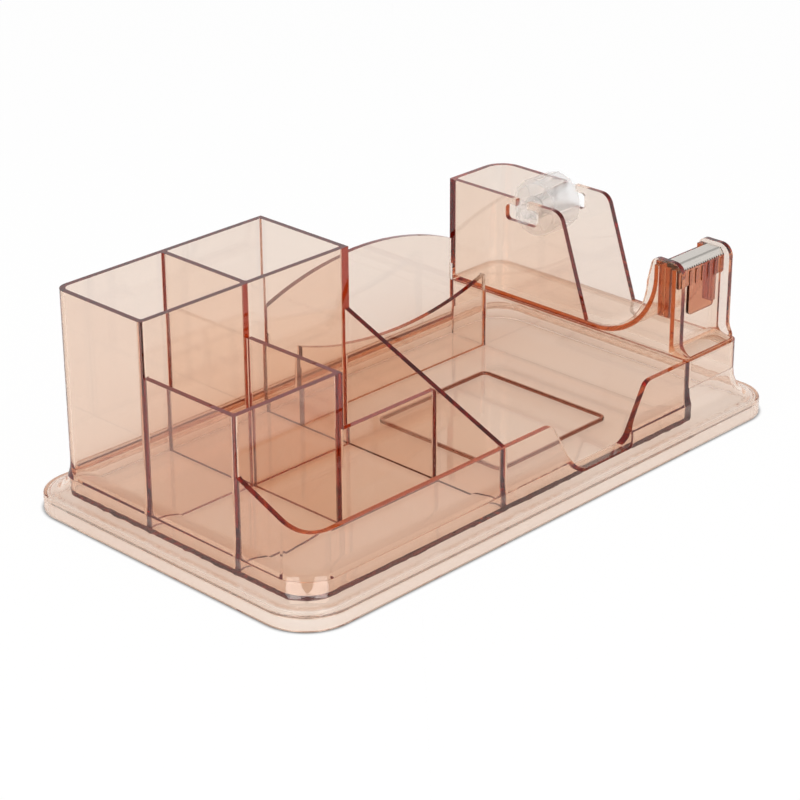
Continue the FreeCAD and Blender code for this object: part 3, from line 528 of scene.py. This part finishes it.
def cutter_saddle():
    """The cutter's solid, with the deck cut back between its legs."""
    shape = bmesh.new()
    shape.from_mesh(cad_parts["cutter_carrier"].data)
    bmesh.ops.remove_doubles(shape, verts=shape.verts, dist=WELD)
    saddle = bpy.data.objects.new("cutter_saddle", bpy.data.meshes.new("cutter_saddle"))
    bpy.context.scene.collection.objects.link(saddle)
    shape.to_mesh(saddle.data)
    shape.free()
    notch = block("deck notch", Vector((LEG_LEFT, BLADE_BACK, DECK_UNDERSIDE - SPARE)),
                  Vector((LEG_RIGHT, BLADE_BACK + NOTCH_LENGTH, BLADE_TOP + SPARE)))
    cut = saddle.modifiers.new("cut", "BOOLEAN")
    cut.operation = "DIFFERENCE"
    cut.solver = "EXACT"
    cut.object = notch
    graph = bpy.context.evaluated_depsgraph_get()
    mesh = bpy.data.meshes.new_from_object(saddle.evaluated_get(graph))
    saddle.modifiers.remove(cut)
    bpy.data.objects.remove(notch)
    saddle.data = mesh
    mesh.materials.clear()
    mesh.materials.append(deep_amber)
    mesh.shade_flat()
    return saddle


saddle = cutter_saddle()
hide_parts("cutter_carrier")
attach(saddle, "organiser")
print("saddle:", len(saddle.data.polygons), "faces, between", *reach(saddle))

# %% [markdown]
# A low rib runs round the middle of the memo tray's floor and keeps the paper off it. The rib is a
# section that follows a rounded rectangle, so Geometry Nodes sweep it along that path. It lies over
# the solid's own rib and is a little wider and higher, so that its painted dark line of shade shows.

# %% The rib in the memo tray
RIB_MIDDLE = (30.400 * MM, -8.100 * MM)
RIB_LENGTH = 54.6 * MM
RIB_DEPTH = 56.6 * MM
RIB_WIDTH = 1.3 * MM
RIB_RISE = 0.95 * MM
RIB_FOOT = 5.62 * MM                 # on the tray's floor
RIB_CORNER = 2.5 * MM
RIB_CORNER_POINTS = 8
RIB_EDGE = 0.2 * MM                  # the section's own rounding
RIB_EDGE_POINTS = 3


def swept_rib_tree():
    """Nodes for a rib with a flat top that follows a rounded rectangle."""
    tree = bpy.data.node_groups.new("swept rib", "GeometryNodeTree")
    tree.interface.new_socket("Geometry", in_out="OUTPUT", socket_type="NodeSocketGeometry")
    tree.interface.new_socket("Geometry", in_out="INPUT", socket_type="NodeSocketGeometry")
    for name in ("Length", "Depth", "Corner", "Rib width", "Rib rise"):
        tree.interface.new_socket(name, in_out="INPUT", socket_type="NodeSocketFloat")
    tree.interface.new_socket("Finish", in_out="INPUT", socket_type="NodeSocketMaterial")
    sizes = add_node(tree, "NodeGroupInput").outputs
    path = add_node(tree, "GeometryNodeCurvePrimitiveQuadrilateral",
                    inputs={"Width": sizes["Length"], "Height": sizes["Depth"]}).outputs[0]
    path = add_node(tree, "GeometryNodeFilletCurve", {"mode": "POLY"},
                    {"Curve": path, "Count": RIB_CORNER_POINTS,
                     "Radius": sizes["Corner"]}).outputs[0]
    section = add_node(tree, "GeometryNodeCurvePrimitiveQuadrilateral",
                       inputs={"Width": sizes["Rib width"], "Height": sizes["Rib rise"]}).outputs[0]
    section = add_node(tree, "GeometryNodeFilletCurve", {"mode": "POLY"},
                       {"Curve": section, "Count": RIB_EDGE_POINTS, "Radius": RIB_EDGE}).outputs[0]
    rib = add_node(tree, "GeometryNodeCurveToMesh",
                   inputs={"Curve": path, "Profile Curve": section}).outputs[0]
    real = add_node(tree, "GeometryNodeRealizeInstances", inputs={"Geometry": rib}).outputs[0]
    dressed = add_node(tree, "GeometryNodeSetMaterial",
                       inputs={"Geometry": real, "Material": sizes["Finish"]}).outputs[0]
    add_node(tree, "NodeGroupOutput", inputs={0: dressed})
    return tree


# The rib's finish is painted shade, a deep tint that draws its dark line.
rib = bake_nodes("tray_rib", swept_rib_tree(),
                 {"Length": RIB_LENGTH, "Depth": RIB_DEPTH, "Corner": RIB_CORNER,
                  "Rib width": RIB_WIDTH, "Rib rise": RIB_RISE, "Finish": rib_painted_shade},
                 Vector((RIB_MIDDLE[0], RIB_MIDDLE[1], RIB_FOOT + RIB_RISE / 2)))
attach(rib, "organiser")
print("rib:", len(rib.data.polygons), "faces, between", *reach(rib))

# %% [markdown]
# Every other solid keeps its own mesh, whose corners and curves are exact, and only gets its finish.
# The two solids of the cutter are hidden behind the pieces that replace them, and get theirs too.

# %% Dress the solids
FINISHES = {"organiser_base": amber, "tape_housing": seated_amber, "cutter_carrier": deep_amber,
            "cutter_blade": steel, "hub_axle": polished, "hub_drum": frosted}
for name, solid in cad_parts.items():
    solid.data.materials.clear()
    solid.data.materials.append(FINISHES[name])
    print(name, "gets", solid.data.materials[0].name)
